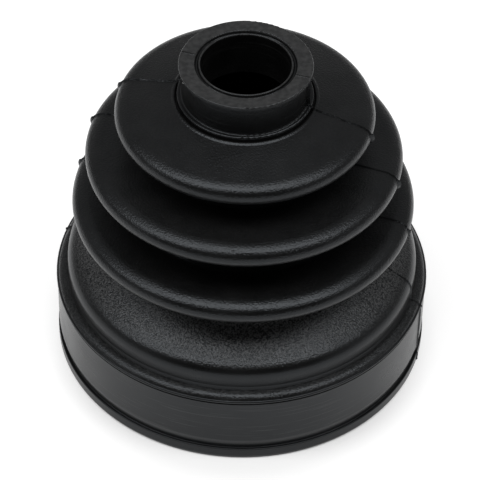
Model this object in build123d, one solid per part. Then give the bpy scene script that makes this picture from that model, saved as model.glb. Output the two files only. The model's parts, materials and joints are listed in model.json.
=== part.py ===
from build123d import *
from math import asin, atan2, copysign, cos, hypot, pi, radians, sin
import os

# Rubber bellows boot for a driveshaft joint, moulded in one piece.
# A small collar grips the shaft, a large collar grips the joint housing, and
# three convolutions between them let the joint swing.
# Millimetres. The axis is Z, and the large end stands on z = 0.

# --- Small collar -----------------------------------------------------------
boot_height = 85.9        # underside of the flange to the top of the small collar
bore_r = 10.6             # shaft bore
bore_length = 12.0
lip_width = 0.5           # thin sealing lip round the mouth of the bore
lip_drop = 0.1            # how far the lip lies below the top face
lip_groove_width = 0.8    # groove between the lip and the top face
lip_groove_depth = 0.9
rim_r = 15.7              # thin rim round the top, which keeps the clamp on
rim_height = 0.9
clamp_seat_r = 14.95      # clamp seat below the rim
collar_height = 8.8       # top face to the ledge at the foot of the collar
collar_edge = 0.3         # rounding of the collar's edges

# --- Foot of the small collar ----------------------------------------------
ledge_width = 1.1         # narrow ledge round the foot of the clamp seat
ledge_fillet = 0.35       # between the clamp seat and the ledge
ledge_edge = 0.4
ledge_groove_width = 0.3  # groove between the ledge and the neck ring
ledge_groove_depth = 1.6
neck_drop = 0.72          # ledge to the crest of the neck ring
neck_edge = 0.5           # rounding of that crest
neck_land = 0.43          # straight run down from the crest to the first flank
neck_fall = 31.0          # degrees by which that run falls
sleeve_edge = 0.6         # rounding at the lower end of the bore
root_r = 17.5             # where the inside of the first flank meets the thick root
root_thickness = 2.5      # crest of the neck ring to that meeting

# --- Convolutions, from the small end ----------------------------------------
wall = 2.0                # wall of the bellows
rim_round = 2.5           # edge of every rim
crown_round = 5.0         # shallow crown inside the edge
crown_land = 0.25         # straight run from the crown to the edge
crown_fall = 31.0         # degrees by which that run falls
rim_1_r, rim_1_z = 28.2, 71.1        # centre of each edge
rim_2_r, rim_2_z = 35.37, 58.36
rim_3_r, rim_3_z = 38.85, 43.5
valley_1_r, valley_1_z, valley_1_round = 24.2, 63.6, 1.6
valley_2_r, valley_2_z, valley_2_round = 29.8, 48.45, 1.8
valley_3_r, valley_3_z, valley_3_round = 34.0, 34.6, 2.3

# --- Large collar ------------------------------------------------------------
housing_bore_r = 42.5     # bore that slides over the joint housing
housing_bore_length = 17.5
mouth_edge = 0.6          # rounding of its mouth
stop_round = 0.8          # fillet in the corner above the housing bore
seat_wall = 3.2           # rubber between the housing and the clamp seat
seat_foot_z = 6.4         # where the seat turns into the flange groove
seat_foot_round = 2.5
ridge_height = 0.2        # ridge that keeps the clamp in place
ridge_nose = 0.4          # rounding of its outer edge
ridge_drop = 1.2          # its top to the upper edge of the clamp seat
ridge_groove_depth = 0.3  # fine groove between the ridge and the seat
ridge_groove_round = 0.15
ridge_top_z = 20.05
groove_depth = 0.6        # groove between the seat and the flange
groove_round = 0.2
flange_reach = 0.2        # how far the flange stands out from the seat
flange_height = 3.2
flange_top_edge = 0.25
flange_foot_edge = 1.0

# --- Shoulder above the large collar ----------------------------------------
shoulder_step = 0.5       # upright wall of the shoulder, outside the housing bore
shoulder_z = 24.6         # where its upper rounding starts
shoulder_round = 3.8
shoulder_flare = 0.2      # how far that wall spreads at its foot
shoulder_flare_height = 1.2
bead_width = 2.45         # grained bead from the shoulder's wall out to the ridge
bead_round = 2.1
bead_land = 0.1           # straight run from the bead to its outer corner
bead_fall = 57.0          # degrees by which that run falls


def straight_run(start, end):
    """Ends and heading of the line that touches two bends, passed in this order.

    A bend is (radius from the axis, height, bend radius). The outline runs
    clockwise, so the open air is on its left. A bend radius is positive where
    the rubber is convex, negative where it is hollow and 0 at a sharp corner.
    """
    start_r, start_z, start_bend = start
    end_r, end_z, end_bend = end
    distance = hypot(end_r - start_r, end_z - start_z)
    heading = atan2(end_z - start_z, end_r - start_r) - asin((start_bend - end_bend) / distance)
    out_r, out_z = -sin(heading), cos(heading)
    leaves = (start_r + start_bend * out_r, start_z + start_bend * out_z)
    meets = (end_r + end_bend * out_r, end_z + end_bend * out_z)
    return leaves, meets, heading


def outline(bends):
    """Closed chain of straight runs with a tangent arc round each bend.

    A convex bend turns clockwise and a hollow one anticlockwise, by up to three
    quarters of a turn, so that the lip and its groove can turn right round.
    """
    runs = [straight_run(bend, bends[(i + 1) % len(bends)]) for i, bend in enumerate(bends)]
    for i, (centre_r, centre_z, bend) in enumerate(bends):
        leaves, meets, heading = runs[i]
        Line(leaves, meets)
        if bend == 0:
            continue
        arrives, arrival_heading = runs[i - 1][1:]
        furthest_back = pi + copysign(pi / 2, bend)
        turn = (heading - arrival_heading + furthest_back) % (2 * pi) - furthest_back
        middle = arrival_heading + turn / 2
        crest = (centre_r - bend * sin(middle), centre_z + bend * cos(middle))
        ThreePointArc(arrives, crest, leaves)


def slide(r, z, fall, along, across):
    """Point moved along a straight run, and then across it towards the open air.

    The run falls outwards by an angle in degrees. Two bends that it joins lie
    apart across it by the difference of their radii.
    """
    fall = radians(fall)
    return r + along * cos(fall) + across * sin(fall), z - along * sin(fall) + across * cos(fall)


def rim(edge_r, edge_z):
    """Shallow crown and tighter edge of one rim."""
    crown = slide(edge_r, edge_z, crown_fall, -crown_land, rim_round - crown_round)
    return [(*crown, crown_round), (edge_r, edge_z, rim_round)]


def small_collar():
    """From the mouth of the bore, over the top face and down to the first flank."""
    lip_r = bore_r + lip_width / 2
    lip_groove_r = bore_r + lip_width + lip_groove_width / 2
    lip_groove_z = boot_height - lip_groove_depth + lip_groove_width / 2
    face_r = bore_r + lip_width + lip_groove_width
    ledge_z = boot_height - collar_height
    ledge_r = clamp_seat_r + ledge_width
    ledge_groove_r = ledge_r + ledge_groove_width / 2
    ledge_groove_z = ledge_z - ledge_groove_depth + ledge_groove_width / 2
    neck_r = ledge_r + ledge_groove_width + neck_edge
    neck_z = ledge_z - neck_drop - neck_edge
    flank_start = slide(neck_r, neck_z, neck_fall, neck_land, neck_edge)
    return [
        (lip_r, boot_height - lip_drop - lip_width / 2, lip_width / 2),
        (lip_groove_r, lip_groove_z, -lip_groove_width / 2),
        (face_r + collar_edge, boot_height - collar_edge, collar_edge),
        (rim_r - collar_edge, boot_height - collar_edge, collar_edge),
        (rim_r, boot_height - rim_height, 0),
        (clamp_seat_r, boot_height - rim_height, 0),
        (clamp_seat_r + ledge_fillet, ledge_z + ledge_fillet, -ledge_fillet),
        (ledge_r - ledge_edge, ledge_z - ledge_edge, ledge_edge),
        (ledge_groove_r, ledge_groove_z, -ledge_groove_width / 2),
        (neck_r, neck_z, neck_edge),
        (*flank_start, 0),
    ]


def bellows():
    """Outside of the three convolutions and of the shoulder's rounding."""
    return [
        *rim(rim_1_r, rim_1_z),
        (valley_1_r, valley_1_z, -valley_1_round),
        *rim(rim_2_r, rim_2_z),
        (valley_2_r, valley_2_z, -valley_2_round),
        *rim(rim_3_r, rim_3_z),
        (valley_3_r, valley_3_z, -valley_3_round),
        (housing_bore_r + shoulder_step - shoulder_round, shoulder_z, shoulder_round),
    ]


def large_collar():
    """From the foot of the shoulder, over bead, ridge, seat and flange, to the mouth."""
    shoulder_r = housing_bore_r + shoulder_step
    bead_end_r = shoulder_r + bead_width
    bead_r, bead_z = slide(bead_end_r, ridge_top_z, bead_fall, -bead_land, -bead_round)
    shoulder_foot_z = bead_z + bead_round
    seat_r = housing_bore_r + seat_wall
    seat_top_z = ridge_top_z - ridge_drop
    ridge_groove_r = seat_r - ridge_groove_depth
    ridge_r = seat_r + ridge_height
    groove_r = seat_r - groove_depth
    flange_r = seat_r + flange_reach
    return [
        (shoulder_r, shoulder_foot_z + shoulder_flare_height, 0),
        (shoulder_r + shoulder_flare, shoulder_foot_z, 0),
        (bead_r, bead_z, bead_round),
        (bead_end_r, ridge_top_z, 0),
        (ridge_r - ridge_nose, ridge_top_z - ridge_nose, ridge_nose),
        (ridge_groove_r + ridge_groove_round, seat_top_z + ridge_groove_round, -ridge_groove_round),
        (seat_r, seat_top_z, 0),
        (seat_r - seat_foot_round, seat_foot_z, seat_foot_round),
        (groove_r + groove_round, flange_height + groove_round, -groove_round),
        (flange_r - flange_top_edge, flange_height - flange_top_edge, flange_top_edge),
        (flange_r - flange_foot_edge, flange_foot_edge, flange_foot_edge),
        (housing_bore_r + mouth_edge, mouth_edge, mouth_edge),
    ]


def inside():
    """From the housing bore up to the shaft bore, one wall inside the bellows."""
    lining = [(r, z, wall - bend) for r, z, bend in reversed(bellows())]
    root_z = boot_height - collar_height - neck_drop - root_thickness
    sleeve_z = boot_height - bore_length
    return [
        (housing_bore_r - stop_round, housing_bore_length - stop_round, -stop_round),
        (housing_bore_r + shoulder_step - wall, housing_bore_length, 0),
        *lining,
        (root_r, root_z, 0),
        (bore_r + sleeve_edge, sleeve_z + sleeve_edge, sleeve_edge),
    ]


with BuildPart() as boot:
    with BuildSketch(Plane.XZ):
        with BuildLine():
            outline(small_collar() + bellows() + large_collar() + inside())
        make_face()
    revolve(axis=Axis.Z)

os.makedirs("parts", exist_ok=True)
export_step(boot.part, "parts/bellows_boot.step")
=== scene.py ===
# %% [markdown]
# # A rubber bellows boot
#
# This notebook dresses one moulded part: the boot that keeps grease in a
# driveshaft joint. The solid comes from the CAD model, in metres, standing on
# z = 0 with its axis on Z. What is left for Blender is what makes it look like
# rubber: the studio, the grain of the moulding, the handled bands, and the
# thin line of flash where the two halves of the mould met.

# %% Load the frame
import bpy
import bmesh
import json
import math
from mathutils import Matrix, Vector

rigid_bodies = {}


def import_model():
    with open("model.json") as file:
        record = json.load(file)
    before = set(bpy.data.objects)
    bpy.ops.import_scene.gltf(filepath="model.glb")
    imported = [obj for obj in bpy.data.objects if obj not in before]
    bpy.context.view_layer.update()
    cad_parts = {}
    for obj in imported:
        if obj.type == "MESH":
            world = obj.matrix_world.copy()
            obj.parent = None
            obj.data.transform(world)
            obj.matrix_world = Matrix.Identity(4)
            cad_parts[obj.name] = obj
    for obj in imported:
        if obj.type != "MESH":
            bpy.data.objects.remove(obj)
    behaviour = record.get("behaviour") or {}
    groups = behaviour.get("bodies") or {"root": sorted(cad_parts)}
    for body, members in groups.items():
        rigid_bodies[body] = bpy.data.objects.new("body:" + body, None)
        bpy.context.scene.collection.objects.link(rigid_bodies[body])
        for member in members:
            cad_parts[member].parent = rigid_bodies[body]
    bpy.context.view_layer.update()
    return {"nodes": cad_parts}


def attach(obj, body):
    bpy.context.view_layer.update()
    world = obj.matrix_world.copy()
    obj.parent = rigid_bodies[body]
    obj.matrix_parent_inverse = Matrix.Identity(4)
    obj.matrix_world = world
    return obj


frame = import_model()
boot = frame["nodes"]["bellows_boot"]
MM = 0.001

# %% [markdown]
# ## The camera
#
# A long lens, about 200 mm, stands half a metre off and looks down at 46
# degrees, so the rings read as ellipses and the bore can be looked into. A
# camera is placed by its location and its rotation, and it is kept slightly
# rolled, because a boot that stands free is never quite upright in the frame.

# %% Camera
CAMERA_PLACE = (0.0, -0.468488, 0.486345)
CAMERA_TURN = (45.6738, -0.8437, 0.8909)
LENS = 199.529

bpy.ops.object.camera_add(location=CAMERA_PLACE, rotation=[math.radians(a) for a in CAMERA_TURN])
camera = bpy.context.object
camera.data.sensor_width = 36.0
camera.data.lens = LENS
camera.data.clip_start = 0.01
bpy.context.scene.camera = camera
print("camera looks down by", round(90.0 - CAMERA_TURN[0], 1), "degrees")

# %% [markdown]
# ## The studio
#
# Black rubber shows no light of its own. All that is seen on it is the room,
# mirrored in its folds. A long softbox overhead gives the bright line on every
# rim, and black flags at the front and above keep the walls of the folds dark.
#
# A finish in Blender is a net of nodes, which can be drawn by hand in the
# shader editor. The same few nodes come back in every material here, so each
# gets a small helper that adds the node, sets it and hands back its output.

# %% Node helpers
def add_node(tree, kind, **settings):
    node = tree.nodes.new(kind)
    for setting, value in settings.items():
        setattr(node, setting, value)
    return node


def math_node(tree, operation, first, second, third=None):
    node = add_node(tree, "ShaderNodeMath", operation=operation)
    for socket, value in zip(node.inputs, (first, second, third)):
        if value is None:
            continue
        if isinstance(value, (int, float)):
            socket.default_value = value
        else:
            tree.links.new(value, socket)
    return node.outputs[0]


def ramp_node(tree, value, stops, blend="LINEAR"):
    node = add_node(tree, "ShaderNodeValToRGB")
    node.color_ramp.interpolation = blend
    while len(node.color_ramp.elements) < len(stops):
        node.color_ramp.elements.new(1.0)
    for element, (place, level) in zip(node.color_ramp.elements, stops):
        element.position = place
        element.color = (level, level, level, 1.0)
    tree.links.new(value, node.inputs[0])
    return node.outputs[0]


def distance_node(tree, coordinates, point):
    node = add_node(tree, "ShaderNodeVectorMath", operation="DISTANCE")
    tree.links.new(coordinates, node.inputs[0])
    node.inputs[1].default_value = point
    return node.outputs["Value"]


def plain_material(name, colour, roughness):
    material = bpy.data.materials.new(name)
    material.use_nodes = True
    shader = material.node_tree.nodes["Principled BSDF"]
    shader.inputs["Base Color"].default_value = (*colour, 1.0)
    shader.inputs["Roughness"].default_value = roughness
    shader.inputs["Specular IOR Level"].default_value = 0.0
    return material


print("node helpers ready")

# %% [markdown]
# ## The floor
#
# The boot stands on a plain pale sheet. It could be lit until it turns white,
# but that light would also fall on the rubber and grey it. So the paper keeps
# a colour that takes the shadow of the boot, and a glow that only the camera
# and mirrored rays can see lifts it to the white of a studio sweep. The glow is
# weaker near the boot, most of all in front of it, so that the soft contact
# shadow there stays and a painted shadow is added to it. There is none inside
# the boot.

# %% Floor paper
FLOOR_COLOUR = (0.69, 0.69, 0.69)
FLOOR_GLOW = 0.20
OPEN_GLOW = 0.30
GLOW_MIDDLE = (0.0, -0.015, 0.0)
GLOW_START = 0.031
GLOW_FULL = 0.050
AXIS_FOOT = (0.0, 0.0, 0.0)
BOOT_FOOT = 0.0455


def sight_rays(tree):
    rays = add_node(tree, "ShaderNodeLightPath").outputs
    seen = math_node(tree, "ADD", rays["Is Camera Ray"], rays["Is Glossy Ray"])
    return math_node(tree, "ADD", seen, rays["Is Transmission Ray"])


def add_sight_glow(material):
    tree = material.node_tree
    place = add_node(tree, "ShaderNodeTexCoord").outputs["Object"]
    from_middle = distance_node(tree, place, GLOW_MIDDLE)
    # The glow is weaker near the boot, most of all in front of it: a painted shadow over the real one.
    open_floor = ramp_node(tree, from_middle, [(GLOW_START, 0.0), (GLOW_FULL, 1.0)], "EASE")
    glow = math_node(tree, "MULTIPLY_ADD", open_floor, OPEN_GLOW, FLOOR_GLOW)
    foot_distance = distance_node(tree, place, AXIS_FOOT)
    outside = math_node(tree, "GREATER_THAN", foot_distance, BOOT_FOOT)
    glow = math_node(tree, "MULTIPLY", glow, outside)
    glow = math_node(tree, "MULTIPLY", glow, sight_rays(tree))
    shader = tree.nodes["Principled BSDF"]
    shader.inputs["Emission Color"].default_value = (1.0, 1.0, 1.0, 1.0)
    tree.links.new(glow, shader.inputs["Emission Strength"])


paper = plain_material("floor_paper", FLOOR_COLOUR, 1.0)
add_sight_glow(paper)
print("glow grows from", round(GLOW_START / MM), "to", round(GLOW_FULL / MM), "mm out")

# %% Floor
bpy.ops.object.select_all(action="DESELECT")
bpy.ops.mesh.primitive_plane_add(size=6.0)
floor = bpy.context.object
floor.name = "studio_floor"
floor.data.materials.append(paper)
print("floor:", floor.dimensions[:])

# %% [markdown]
# ## The flags
#
# A flag is a panel of black cloth. The front one stands where the upright
# walls of the folds would mirror the room, and the top one roofs the gap
# between it and the softbox. Turning the room's own light down would darken
# the walls too, but also everything else, so real panels are hung instead.
# The camera's sight of them is switched off, as if they hung just out of view.
# Each is a plane that is scaled and turned, and then has that applied.

# %% Flags
FLAG_COLOUR = (0.01, 0.01, 0.01)


def flag(name, middle, size, turn):
    bpy.ops.object.select_all(action="DESELECT")
    bpy.ops.mesh.primitive_plane_add(size=1.0, location=middle, rotation=(math.radians(turn), 0.0, 0.0))
    panel = bpy.context.object
    panel.name = name
    panel.scale = (*size, 1.0)
    bpy.ops.object.transform_apply(location=True, rotation=True, scale=True)
    panel.data.materials.append(plain_material(name + "_cloth", FLAG_COLOUR, 1.0))
    panel.visible_camera = False
    print(name, "hung, size", [round(side, 2) for side in panel.dimensions])


flag("front_flag", (0.0, -1.3, 0.69), (3.2, 1.32), 90.0)
flag("top_flag", (0.0, -0.75, 1.35), (3.2, 1.1), 0.0)

# %% [markdown]
# ## The softbox and the room
#
# A rounded rim mirrors a whole band of the room in a strip a millimetre wide,
# so the shape of the lamp is the shape of the highlight. A long, narrow area
# light gives the soft line that runs round each fold, where a small lamp would
# give one hard spot. Its power follows from its size, so that it can be resized
# without changing how bright it looks. A grey world fills in what is left.

# %% Softbox
SOFTBOX_PLACE = (-0.15, -0.24, 1.0)
SOFTBOX_SIZE = (2.1, 0.48)
SOFTBOX_GLOW = 4.9

bpy.ops.object.light_add(type="AREA", location=SOFTBOX_PLACE)
softbox = bpy.context.object
softbox.data.shape = "RECTANGLE"
softbox.data.size, softbox.data.size_y = SOFTBOX_SIZE
softbox.data.energy = SOFTBOX_GLOW * math.pi * SOFTBOX_SIZE[0] * SOFTBOX_SIZE[1]
print("softbox power", round(softbox.data.energy, 2), "W")

# %% Room
ROOM_GLOW = 0.29

world = bpy.data.worlds.new("grey_room")
bpy.context.scene.world = world
world.use_nodes = True
background = world.node_tree.nodes["Background"]
background.inputs["Color"].default_value = (1.0, 1.0, 1.0, 1.0)
background.inputs["Strength"].default_value = ROOM_GLOW
bpy.context.scene.view_settings.view_transform = "Standard"
print("room glow", ROOM_GLOW)

# %% [markdown]
# ## The rubber
#
# The boot is black rubber straight from the mould. It is grained wherever the
# mould was blasted, on the folds, the cone and the bead, and nearly smooth on
# the collars that the clamps sit on. The grain could be modelled, but it is
# only a few hundredths of a millimetre deep, so a bump is enough. One material
# does it all: the height of a point, through a ramp, picks how deep the grain
# is there, and a fine noise makes the grain itself.

# %% Rubber: the base
RUBBER_IOR = 1.36
# The cool blue of every reflection on the rubber is painted light, standing in for a cool softbox.
PAINTED_COOL_LIGHT_TINT = (0.88, 0.94, 1.0, 1.0)
TOP = 0.0859

rubber = bpy.data.materials.new("moulded_rubber")
rubber.use_nodes = True
tree = rubber.node_tree
shader = tree.nodes["Principled BSDF"]
shader.inputs["IOR"].default_value = RUBBER_IOR
shader.inputs["Specular Tint"].default_value = PAINTED_COOL_LIGHT_TINT
place = add_node(tree, "ShaderNodeTexCoord").outputs["Object"]
split = add_node(tree, "ShaderNodeSeparateXYZ")
tree.links.new(place, split.inputs[0])
height = math_node(tree, "DIVIDE", split.outputs["Z"], TOP)
print("rubber base: index", RUBBER_IOR)

# %% [markdown]
# Three more helpers serve the rubber only. A zone is a ramp over the height of
# the boot, written in metres above the floor, so that a ring can be given its
# own grain or colour by reading its height off the CAD model.

# %% Rubber: helpers
def zone_node(tree, zone):
    return ramp_node(tree, height, [(z / TOP, level) for z, level in zone])


def noise_node(tree, coordinates, per_metre, detail):
    node = add_node(tree, "ShaderNodeTexNoise")
    tree.links.new(coordinates, node.inputs["Vector"])
    node.inputs["Scale"].default_value = per_metre
    node.inputs["Detail"].default_value = detail
    return node.outputs["Fac"]


def bump_node(tree, height, depth, under=None):
    node = add_node(tree, "ShaderNodeBump")
    node.inputs["Distance"].default_value = depth
    node.inputs["Strength"].default_value = 1.0
    tree.links.new(height, node.inputs["Height"])
    if under is not None:
        tree.links.new(under, node.inputs["Normal"])
    return node.outputs["Normal"]


print("rubber helpers ready")

# %% Rubber: grain by height
GRAIN_PER_METRE = 2400.0
GRAIN_DETAIL = 1.5
GRAIN_DEPTH = 0.00014
GRAIN_ZONES = [
    (0.0000, 0.06), (0.0200, 0.06), (0.0203, 0.90), (0.0212, 0.90),
    (0.0216, 0.20), (0.0265, 0.20), (0.0285, 1.20), (0.0345, 1.20),
    (0.0380, 0.65), (0.0768, 0.65), (0.0771, 0.30), (0.0859, 0.30),
]

grain = noise_node(tree, place, GRAIN_PER_METRE, GRAIN_DETAIL)
grained = math_node(tree, "MULTIPLY", grain, zone_node(tree, GRAIN_ZONES))
surface = bump_node(tree, grained, GRAIN_DEPTH)
print("grain zones:", len(GRAIN_ZONES))

# %% [markdown]
# ## Hair scratches
#
# The clamp seats are smooth, and a boot that has lain on a shelf has hair
# scratches round them. They could be painted one by one, but a noise that is
# squeezed upwards gives thin level lines by itself, and a ramp with a steep
# step keeps only a few of them. A second ramp keeps them to the two seats.

# %% Rubber: scratches
SCRATCH_STRETCH = (60.0, 60.0, 3200.0)
SCRATCH_STEP = [(0.62, 0.0), (0.68, 1.0)]
SCRATCH_DEPTH = 0.00001
BAND_ZONE = [
    (0.0060, 0.0), (0.0066, 1.0), (0.0184, 1.0), (0.0188, 0.0),
    (0.0772, 0.0), (0.0778, 0.5), (0.0846, 0.5), (0.0850, 0.0),
]

stretch = add_node(tree, "ShaderNodeMapping")
stretch.inputs["Scale"].default_value = SCRATCH_STRETCH
tree.links.new(place, stretch.inputs["Vector"])
lines = ramp_node(tree, noise_node(tree, stretch.outputs[0], 1.0, 2.0), SCRATCH_STEP)
scratches = math_node(tree, "MULTIPLY", lines, zone_node(tree, BAND_ZONE))
surface = bump_node(tree, scratches, SCRATCH_DEPTH, under=surface)
print("scratches on the seat from", round(BAND_ZONE[1][0] / MM, 1), "to", round(BAND_ZONE[2][0] / MM, 1), "mm")

# %% [markdown]
# ## Gloss
#
# Moulded rubber has a satin shine that wanders a little from place to place, so
# a broad noise moves the roughness up and down. Inside, the boot was shaped by
# a core that leaves it dull. Whether a point is inside could be told by its
# radius, but the folds run in and out past each other. The way that the surface
# faces tells it more simply: inside, it faces the axis.

# %% Rubber: gloss
GLOSS_PER_METRE = 90.0
GLOSS_RANGE = [(0.30, 0.27), (0.70, 0.34)]
SCRATCH_GLOSS = 0.06
SLEEVE_FOOT = 0.0745
INSIDE_ROUGHNESS = 0.95
FACES_AXIS = -0.001


def inside_dullness(tree, place):
    flat = add_node(tree, "ShaderNodeVectorMath", operation="MULTIPLY")
    tree.links.new(place, flat.inputs[0])
    flat.inputs[1].default_value = (1.0, 1.0, 0.0)
    outwards = add_node(tree, "ShaderNodeVectorMath", operation="DOT_PRODUCT")
    tree.links.new(flat.outputs[0], outwards.inputs[0])
    facing = add_node(tree, "ShaderNodeNewGeometry").outputs["Normal"]
    tree.links.new(facing, outwards.inputs[1])
    inward = math_node(tree, "LESS_THAN", outwards.outputs["Value"], FACES_AXIS)
    low = math_node(tree, "LESS_THAN", split.outputs["Z"], SLEEVE_FOOT)
    inside = math_node(tree, "MULTIPLY", inward, low)
    return math_node(tree, "MULTIPLY", inside, INSIDE_ROUGHNESS)


gloss = noise_node(tree, place, GLOSS_PER_METRE, 3.0)
rough = ramp_node(tree, gloss, GLOSS_RANGE)
rough = math_node(tree, "MULTIPLY_ADD", scratches, SCRATCH_GLOSS, rough)
rough = math_node(tree, "MAXIMUM", rough, inside_dullness(tree, place))
tree.links.new(rough, shader.inputs["Roughness"])
print("roughness", GLOSS_RANGE[0][1], "to", GLOSS_RANGE[1][1], "and", INSIDE_ROUGHNESS, "inside")

# %% [markdown]
# ## Colour, wear, dust and painted light
#
# Rubber is never one even black. A broad noise varies the black itself. The top
# face is painted paler in patches by a second noise: painted light, for the bright
# room that the flat top mirrors. The scratches are paler, as rubbed wear. On the
# cone the tips of the grain hold a little dust, and the same colour is painted in
# more strongly under the third fold as painted light over its shadow, and a little
# on the bead and the folds: the colour there uses the very noise that makes the
# bump, so that it and the grain agree. A small pale dot at the edge of the small
# collar is a painted glint.

# %% Rubber: shade and wear
SHADE_PER_METRE = 160.0
SHADE_RANGE = [(0.35, 0.0031), (0.65, 0.0054)]
PATCH_PER_METRE = 900.0
PATCH_RANGE = [(0.36, 0.28), (0.66, 0.56)]
# Painted light: the top face is painted paler in patches. The pale scratches are wear.
PAINTED_TOP_LIGHT_ZONE = [(0.08530, 0.0), (0.08585, 1.0)]
SCRATCH_AND_TOP_LIGHT_COLOUR = 0.050
SCRATCH_COLOUR = 0.40

painted_top_light_patches = ramp_node(tree, noise_node(tree, place, PATCH_PER_METRE, 4.0), PATCH_RANGE)
scratches_and_top_light = math_node(tree, "MULTIPLY", zone_node(tree, PAINTED_TOP_LIGHT_ZONE), painted_top_light_patches)
pale_scratches = math_node(tree, "MULTIPLY", scratches, SCRATCH_COLOUR)
scratches_and_top_light = math_node(tree, "MAXIMUM", scratches_and_top_light, pale_scratches)
shade = ramp_node(tree, noise_node(tree, place, SHADE_PER_METRE, 4.0), SHADE_RANGE)
shade = math_node(tree, "MULTIPLY_ADD", scratches_and_top_light, SCRATCH_AND_TOP_LIGHT_COLOUR, shade)
print("black from", SHADE_RANGE[0][1], "to", SHADE_RANGE[1][1])

# %% Rubber: dust, painted light and a painted glint
# Dust on the grain of the cone, the bead and the folds, painted in strongest under the third fold as painted
# light over its shadow.
DUST_AND_PAINTED_LIGHT_COLOUR = 0.054
DUST_AND_PAINTED_LIGHT_STEP = [(0.38, 0.0), (0.62, DUST_AND_PAINTED_LIGHT_COLOUR)]
DUST_AND_PAINTED_LIGHT_ZONE = [
    (0.0200, 0.00), (0.0204, 0.25), (0.0212, 0.25), (0.0216, 0.00), (0.0270, 0.00),
    (0.0295, 1.30), (0.0345, 2.00), (0.0370, 0.04), (0.0765, 0.04), (0.0770, 0.00),
]
# A small pale dot at the edge of the small collar: a painted glint.
GLINT_PLACE = (-0.014343, -0.006386, 0.085)
GLINT_RADIUS = 0.00024
GLINT_COLOUR = 0.6

dust_and_painted_light = add_node(tree, "ShaderNodeVectorMath", operation="MULTIPLY_ADD")
tree.links.new(ramp_node(tree, grain, DUST_AND_PAINTED_LIGHT_STEP), dust_and_painted_light.inputs[0])
tree.links.new(zone_node(tree, DUST_AND_PAINTED_LIGHT_ZONE), dust_and_painted_light.inputs[1])
tree.links.new(shade, dust_and_painted_light.inputs[2])
painted_glint = math_node(tree, "LESS_THAN", distance_node(tree, place, GLINT_PLACE), GLINT_RADIUS)
painted_glint = math_node(tree, "MULTIPLY", painted_glint, GLINT_COLOUR)
with_glint = add_node(tree, "ShaderNodeVectorMath", operation="ADD")
tree.links.new(dust_and_painted_light.outputs[0], with_glint.inputs[0])
tree.links.new(painted_glint, with_glint.inputs[1])
tree.links.new(with_glint.outputs[0], shader.inputs["Base Color"])
print("dust zone:", len(DUST_AND_PAINTED_LIGHT_ZONE), "stops, crumb", round(2 * GLINT_RADIUS / MM, 2), "mm across")

# %% [markdown]
# ## The moulding line across the top face
#
# The mould opens on one upright plane that passes a hair in front of the axis,
# and where its halves don't quite match, the top face has a small step. A mesh
# laid over the flat top would stand proud of the boot's full height, so there
# the step is a bump: the distance of a point from the mould's plane goes
# through a ramp that rises within half a millimetre.

# %% Rubber: line on the top face
MOULD_NORMAL = Vector((0.2672, 0.9636, 0.0)).normalized()
MOULD_POINT = Vector((0.0, -0.3 * MM, 0.0))
STEP_WIDTH = 0.001
STEP_SHAPE = [(0.10, 0.0), (0.20, 0.05), (0.75, 0.85)]
TOP_FACE = 0.08587

along = add_node(tree, "ShaderNodeVectorMath", operation="DOT_PRODUCT")
tree.links.new(place, along.inputs[0])
along.inputs[1].default_value = MOULD_NORMAL
plane_place = MOULD_POINT.dot(MOULD_NORMAL)
from_plane = math_node(tree, "SUBTRACT", along.outputs["Value"], plane_place)
across = math_node(tree, "DIVIDE", from_plane, STEP_WIDTH)
across = math_node(tree, "ADD", across, 0.5)
on_top = math_node(tree, "GREATER_THAN", split.outputs["Z"], TOP_FACE)
step = math_node(tree, "MULTIPLY", ramp_node(tree, across, STEP_SHAPE), on_top)
surface = bump_node(tree, step, STEP_WIDTH, under=surface)
tree.links.new(surface, shader.inputs["Normal"])
boot.material_slots[0].material = rubber
print("rubber nodes:", len(tree.nodes))

# %% [markdown]
# ## The moulding line on the folds
#
# Down both sides the two halves of the mould left a thin line of flash. A curve
# could be drawn along every fold by hand, but the surest way to its path is to
# cut a copy of the boot with the mould's own plane and keep only the cut. The
# copy is merged first, because a CAD mesh is made of loose triangles. The bore,
# the top face and the very foot carry no flash, so the cut is trimmed there,
# and the run that reaches furthest out is the outside of the boot.

# %% Editing helpers
def edit(piece):
    bpy.ops.object.select_all(action="DESELECT")
    bpy.context.view_layer.objects.active = piece
    piece.select_set(True)
    bpy.ops.object.mode_set(mode="EDIT")


def select_points(piece, test):
    bpy.ops.mesh.select_mode(type="VERT")
    bpy.ops.mesh.select_all(action="DESELECT")
    cage = bmesh.from_edit_mesh(piece.data)
    for vert in cage.verts:
        vert.select = test(vert)
    cage.select_flush_mode()
    bmesh.update_edit_mesh(piece.data)


def from_axis(co):
    return math.hypot(co.x, co.y)


print("editing helpers ready")

# %% Copy the boot and cut it
MERGE_WITHIN = 0.000002
ON_PLANE = 0.000001


def copy_boot(name):
    piece = boot.copy()
    piece.data = boot.data.copy()
    piece.name = name
    for key in list(piece.keys()):
        del piece[key]
    bpy.context.collection.objects.link(piece)
    return piece


def cut_by_mould(piece):
    edit(piece)
    bpy.ops.mesh.select_all(action="SELECT")
    bpy.ops.mesh.remove_doubles(threshold=MERGE_WITHIN)
    bpy.ops.mesh.bisect(
        plane_co=MOULD_POINT,
        plane_no=MOULD_NORMAL,
        clear_inner=True,
        clear_outer=True,
        threshold=ON_PLANE,
    )
    bpy.ops.object.mode_set(mode="OBJECT")
    print(piece.name, "cut has", len(piece.data.vertices), "points")


moulding_lines = [copy_boot("moulding_line_right"), copy_boot("moulding_line_left")]
for piece in moulding_lines:
    cut_by_mould(piece)

# %% Keep one outer side of the cut
TOP_LIMIT = TOP - 0.0004
FOOT_LIMIT = 0.0007
BORE_OUT = 0.0145
BORE_FOOT = 0.073


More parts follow.
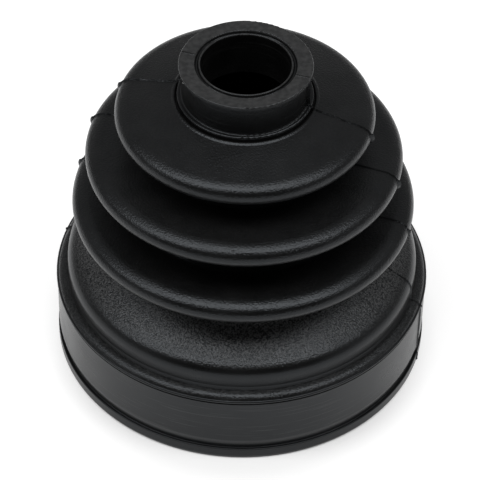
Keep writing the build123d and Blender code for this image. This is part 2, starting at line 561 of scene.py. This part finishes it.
def keep_outside(piece, side):
    def unwanted(vert):
        in_bore = from_axis(vert.co) < BORE_OUT and vert.co.z > BORE_FOOT
        past_end = vert.co.z > TOP_LIMIT or vert.co.z < FOOT_LIMIT
        return vert.co.x * side < 0 or past_end or in_bore

    edit(piece)
    select_points(piece, unwanted)
    bpy.ops.mesh.delete(type="VERT")
    cage = bmesh.from_edit_mesh(piece.data)
    furthest = max(cage.verts, key=lambda vert: from_axis(vert.co)).co.copy()
    select_points(piece, lambda vert: (vert.co - furthest).length < ON_PLANE)
    bpy.ops.mesh.select_linked()
    bpy.ops.mesh.select_all(action="INVERT")
    bpy.ops.mesh.delete(type="VERT")
    bpy.ops.object.mode_set(mode="OBJECT")
    print(piece.name, len(piece.data.vertices), "points,", len(piece.data.edges), "edges")


for piece, side in zip(moulding_lines, (1, -1)):
    keep_outside(piece, side)

# %% [markdown]
# ## Even steps along the line
#
# The cut has long straight runs between its bends, with no points to move. They
# are divided in halves until none is long, so that the crest can be made a
# little uneven later, as real flash is. Dividing only the long ones leaves the
# bends as they were.

# %% Divide the long runs
LONGEST_RUN = 0.6 * MM
MOST_ROUNDS = 6


def divide_long_runs(piece):
    edit(piece)
    for _ in range(MOST_ROUNDS):
        cage = bmesh.from_edit_mesh(piece.data)
        bpy.ops.mesh.select_mode(type="EDGE")
        bpy.ops.mesh.select_all(action="DESELECT")
        long_edges = [edge for edge in cage.edges if edge.calc_length() > LONGEST_RUN]
        if not long_edges:
            break
        for edge in long_edges:
            edge.select_set(True)
        bmesh.update_edit_mesh(piece.data)
        bpy.ops.mesh.subdivide(number_cuts=1)
    bpy.ops.object.mode_set(mode="OBJECT")
    print(piece.name, "divided into", len(piece.data.edges), "edges")


for piece in moulding_lines:
    divide_long_runs(piece)

# %% [markdown]
# ## A ribbon of four rows
#
# Flash has a face on either side and a crest. The line is moved to its first
# row and extruded three times across the mould's plane, which gives a ribbon
# four points wide. A bevel would be quicker, but it rounds both sides alike,
# and this step is steep on one side only. Each point is then given the number
# of its row, because rows can't be told apart by place once they have moved.

# %% Extrude the rows
ROW_PLACES = (-0.34, -0.22, 0.14, 0.26)
INSIDE_WALL = (0.02, 0.043)


def extrude_rows(piece):
    edit(piece)
    bpy.ops.mesh.select_all(action="SELECT")
    bpy.ops.transform.translate(value=MOULD_NORMAL * ROW_PLACES[0] * MM)
    for before, after in zip(ROW_PLACES, ROW_PLACES[1:]):
        move = MOULD_NORMAL * (after - before) * MM
        bpy.ops.mesh.extrude_region_move(TRANSFORM_OT_translate={"value": move})
    bpy.ops.object.mode_set(mode="OBJECT")
    print(piece.name, len(piece.data.polygons), "faces")


def face_outwards(piece):
    edit(piece)
    bpy.ops.mesh.select_all(action="SELECT")
    bpy.ops.mesh.normals_make_consistent(inside=False)
    side = piece.bound_box[0][0] + piece.bound_box[6][0]
    middle = Vector((math.copysign(INSIDE_WALL[0], side), 0.0, INSIDE_WALL[1]))
    cage = bmesh.from_edit_mesh(piece.data)
    outward = sum(face.normal.dot(face.calc_center_median() - middle) for face in cage.faces)
    if outward < 0:
        bpy.ops.mesh.flip_normals()
    bpy.ops.object.mode_set(mode="OBJECT")


def number_rows(piece):
    row_length = len(piece.data.vertices) // len(ROW_PLACES)
    numbers = piece.data.attributes.new("row", "INT", "POINT")
    for index, number in enumerate(numbers.data):
        number.value = index // row_length


for piece in moulding_lines:
    extrude_rows(piece)
    face_outwards(piece)
    number_rows(piece)

# %% [markdown]
# ## The crest and its tags
#
# The rows are now moved along their normals. The outer two go just under the
# skin, so that the ribbon grows out of the rubber. The inner two go together
# first, because a row's normal leans once its neighbour is lower, and then the
# crest is raised alone. Flash is tallest where the mould closes worst, here on
# the first fold and the small collar, so below them it is let down. It is
# roughened with a fixed seed, and at every rim it is pulled out into a tag,
# where rubber was squeezed into the mould's vent.

# %% Row helpers
EDGE_ROWS = (0, 3)
INNER_ROWS = (1, 2)
CREST_ROW = (2,)


def select_rows(piece, rows, test=lambda co: True):
    number = bmesh.from_edit_mesh(piece.data).verts.layers.int["row"]
    select_points(piece, lambda vert: vert[number] in rows and test(vert.co))


def shift_rows(piece, rows, height, test=lambda co: True):
    select_rows(piece, rows, test)
    bpy.ops.transform.shrink_fatten(value=height * MM)


def move_out(piece, reach):
    side = math.copysign(reach * MM, piece.data.vertices[0].co.x)
    bpy.ops.transform.translate(value=(side, 0.0, 0.0))


print("crest is row", CREST_ROW[0])

# %% Raise the crest
EDGE_HEIGHT = -0.06
INNER_HEIGHT = -0.05
CREST_HEIGHT = 0.34
LOWER_DROP = 0.05
FIRST_FOLD_FOOT = 66.0 * MM
CREST_UNEVEN = 0.03 * MM
CREST_SEED = 7


def raise_crest(piece):
    edit(piece)
    shift_rows(piece, EDGE_ROWS, EDGE_HEIGHT)
    shift_rows(piece, INNER_ROWS, INNER_HEIGHT)
    shift_rows(piece, CREST_ROW, CREST_HEIGHT - INNER_HEIGHT)
    shift_rows(piece, INNER_ROWS, -LOWER_DROP, lambda co: co.z < FIRST_FOLD_FOOT)
    select_rows(piece, CREST_ROW)
    bpy.ops.transform.vertex_random(offset=CREST_UNEVEN, uniform=1.0, seed=CREST_SEED)
    bpy.ops.object.mode_set(mode="OBJECT")
    print(piece.name, "crest raised by", CREST_HEIGHT, "mm")


for piece in moulding_lines:
    raise_crest(piece)

# %% Pull out the tags
COLLAR_REACH = 0.35
COLLAR_FOOT = 77.3 * MM
COLLAR_OUT = 15.4 * MM
TAB_REACH = 0.45
TAB_INSET = 0.5 * MM
TAB_HALF = 1.3 * MM
RIM_EDGES = [(30.7, 71.1), (37.87, 58.36), (41.35, 43.5)]


def at_rim(co, rim_r, rim_z):
    return from_axis(co) > rim_r - TAB_INSET and abs(co.z - rim_z) < TAB_HALF


def pull_tabs(piece):
    edit(piece)
    select_rows(piece, INNER_ROWS, lambda co: co.z > COLLAR_FOOT and from_axis(co) < COLLAR_OUT)
    move_out(piece, COLLAR_REACH)
    for rim_r, rim_z in RIM_EDGES:
        select_rows(piece, INNER_ROWS, lambda co: at_rim(co, rim_r * MM, rim_z * MM))
        move_out(piece, TAB_REACH)
    bpy.ops.object.mode_set(mode="OBJECT")
    reach = max(from_axis(vert.co) for vert in piece.data.vertices)
    print(piece.name, "reach", round(reach / MM, 2), "mm")


for piece in moulding_lines:
    pull_tabs(piece)

# %% [markdown]
# ## Closing the underside
#
# So far the ribbon is an open sheet, and a piece that is to be printed or
# weighed has to be closed. Solidify would give it a second skin above the
# first, so the first and the last row are bridged under the skin of the boot
# instead, and the two small ends are filled. The count of open edges, which
# has to be 0, shows that it worked.

# %% Close the underside
OUTER_PAIRS = ({EDGE_ROWS[0]}, {EDGE_ROWS[1]})


def bridge_outer_rows(piece):
    bpy.ops.mesh.select_mode(type="EDGE")
    bpy.ops.mesh.select_all(action="DESELECT")
    cage = bmesh.from_edit_mesh(piece.data)
    number = cage.verts.layers.int["row"]
    for edge in cage.edges:
        edge.select_set({vert[number] for vert in edge.verts} in OUTER_PAIRS)
    bmesh.update_edit_mesh(piece.data)
    bpy.ops.mesh.bridge_edge_loops()


def close_underside(piece):
    edit(piece)
    bridge_outer_rows(piece)
    bpy.ops.mesh.select_all(action="SELECT")
    bpy.ops.mesh.fill_holes(sides=len(ROW_PLACES))
    bpy.ops.mesh.normals_make_consistent(inside=False)
    bpy.ops.object.mode_set(mode="OBJECT")


def check_closed(piece):
    cage = bmesh.new()
    cage.from_mesh(piece.data)
    open_edges = sum(not edge.is_manifold for edge in cage.edges)
    volume = cage.calc_volume(signed=True) / MM ** 3
    cage.free()
    print(piece.name, "open edges", open_edges, "volume", round(volume, 2), "mm3")


for piece in moulding_lines:
    close_underside(piece)
    check_closed(piece)

# %% [markdown]
# ## Finish and hand over
#
# The line is the same rubber as the boot, so it takes the same material, and
# the pattern runs on across both. Its long bends are shaded smooth and its
# crest stays sharp, which smoothing by angle does in one go. It rides on the
# boot's own body and takes its finish from the same slot.

# %% Dress the line
SMOOTH_ANGLE = 18.0

for piece in moulding_lines:
    bpy.ops.object.select_all(action="DESELECT")
    bpy.context.view_layer.objects.active = piece
    piece.select_set(True)
    piece.data.materials.clear()
    piece.data.materials.append(rubber)
    bpy.ops.object.shade_smooth_by_angle(angle=math.radians(SMOOTH_ANGLE))
    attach(piece, "root")
    print(piece.name, "dressed")
